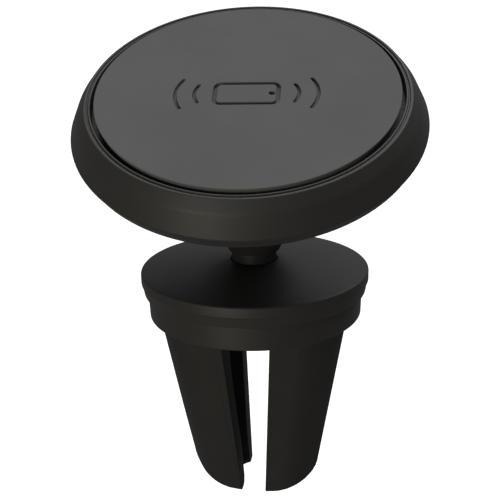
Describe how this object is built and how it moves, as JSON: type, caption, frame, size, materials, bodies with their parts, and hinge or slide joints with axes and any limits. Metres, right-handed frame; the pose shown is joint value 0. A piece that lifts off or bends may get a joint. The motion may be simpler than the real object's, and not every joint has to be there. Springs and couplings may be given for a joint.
{
  "type": "car phone mount",
  "caption": "Round magnetic phone mount on a ball joint, with a four-legged rubber clip that grips the blades of a car's air vent.",
  "frame": {"origin": "on the clip's axis, in the plane of the collar's foot, where the mount comes up against the vent", "axes": "+Z along the clip's axis, out of the vent towards the head; the slots run along X and Y; the head leans towards -Y, swivelled 5 degrees towards +X"},
  "size_m": [0.0399, 0.036, 0.0591],
  "materials": {
    "silicone_pad": "matt, very fine grain",
    "adhesive_sheet": "dull foam sheet",
    "satin_shell": "satin, warm black",
    "black_plastic": "fine moulded texture",
    "nickel_plate": "bright nickel",
    "plated_steel": "zinc plated",
    "black_screw": "black oxide",
    "blackened_steel": "polished black oxide",
    "socket_black": "satin",
    "nylon": "natural nylon, smooth",
    "grip_rubber": "matt moulded rubber"
  },
  "bodies": {
    "base": {"base_flange": "satin_shell", "collar_ring": "satin_shell", "clip_hub": "black_plastic", "stem_screw": "plated_steel", "stem_washer": "plated_steel", "socket_cup": "socket_black", "socket_nut": "socket_black", "preload_pad": "grip_rubber"},
    "liner": {"socket_liner": "nylon"},
    "stud": {"ball_stud": "blackened_steel", "stud_washer": "plated_steel", "stud_nut": "plated_steel"},
    "head": {"face_pad": "silicone_pad", "pad_adhesive": "adhesive_sheet", "head_shell": "satin_shell", "magnet_tray": "black_plastic", "magnet_1": "nickel_plate", "magnet_2": "nickel_plate", "magnet_3": "nickel_plate", "magnet_4": "nickel_plate", "magnet_5": "nickel_plate", "magnet_6": "nickel_plate", "yoke_plate": "plated_steel", "back_cover": "black_plastic", "cover_screw_1": "black_screw", "cover_screw_2": "black_screw", "cover_screw_3": "black_screw"},
    "prong_1": {"spring_arm_1": "nylon", "grip_leg_1": "grip_rubber"},
    "prong_2": {"spring_arm_2": "nylon", "grip_leg_2": "grip_rubber"},
    "prong_3": {"spring_arm_3": "nylon", "grip_leg_3": "grip_rubber"},
    "prong_4": {"spring_arm_4": "nylon", "grip_leg_4": "grip_rubber"}
  },
  "joints": [
    {"name": "ball_swivel", "type": "hinge", "parent": "base", "child": "liner", "pos_m": [0, 0, 0.01653], "axis": [0, 0, 1], "continuous": true},
    {"name": "head_tilt", "type": "hinge", "parent": "liner", "child": "stud", "pos_m": [0, 0, 0.01653], "axis": [0.9962, 0.0872, 0], "range_deg": [-61, 9]},
    {"name": "head_spin", "type": "hinge", "parent": "stud", "child": "head", "pos_m": [0, 0, 0.01653], "axis": [0.0382, -0.4367, 0.8988], "continuous": true},
    {"name": "prong_1_flex", "type": "hinge", "parent": "base", "child": "prong_1", "pos_m": [0.00638, 0.00499, 0.00133], "axis": [0.6157, -0.788, 0], "range_deg": [-2, 4.5], "stiffness_Nm_per_rad": 1.5},
    {"name": "prong_2_flex", "type": "hinge", "parent": "base", "child": "prong_2", "pos_m": [-0.00638, 0.00499, 0.00133], "axis": [0.6157, 0.788, 0], "range_deg": [-2, 4.5], "stiffness_Nm_per_rad": 1.5},
    {"name": "prong_3_flex", "type": "hinge", "parent": "base", "child": "prong_3", "pos_m": [-0.00638, -0.00499, 0.00133], "axis": [-0.6157, 0.788, 0], "range_deg": [-2, 4.5], "stiffness_Nm_per_rad": 1.5},
    {"name": "prong_4_flex", "type": "hinge", "parent": "base", "child": "prong_4", "pos_m": [0.00638, -0.00499, 0.00133], "axis": [-0.6157, -0.788, 0], "range_deg": [-2, 4.5], "stiffness_Nm_per_rad": 1.5}
  ]
}
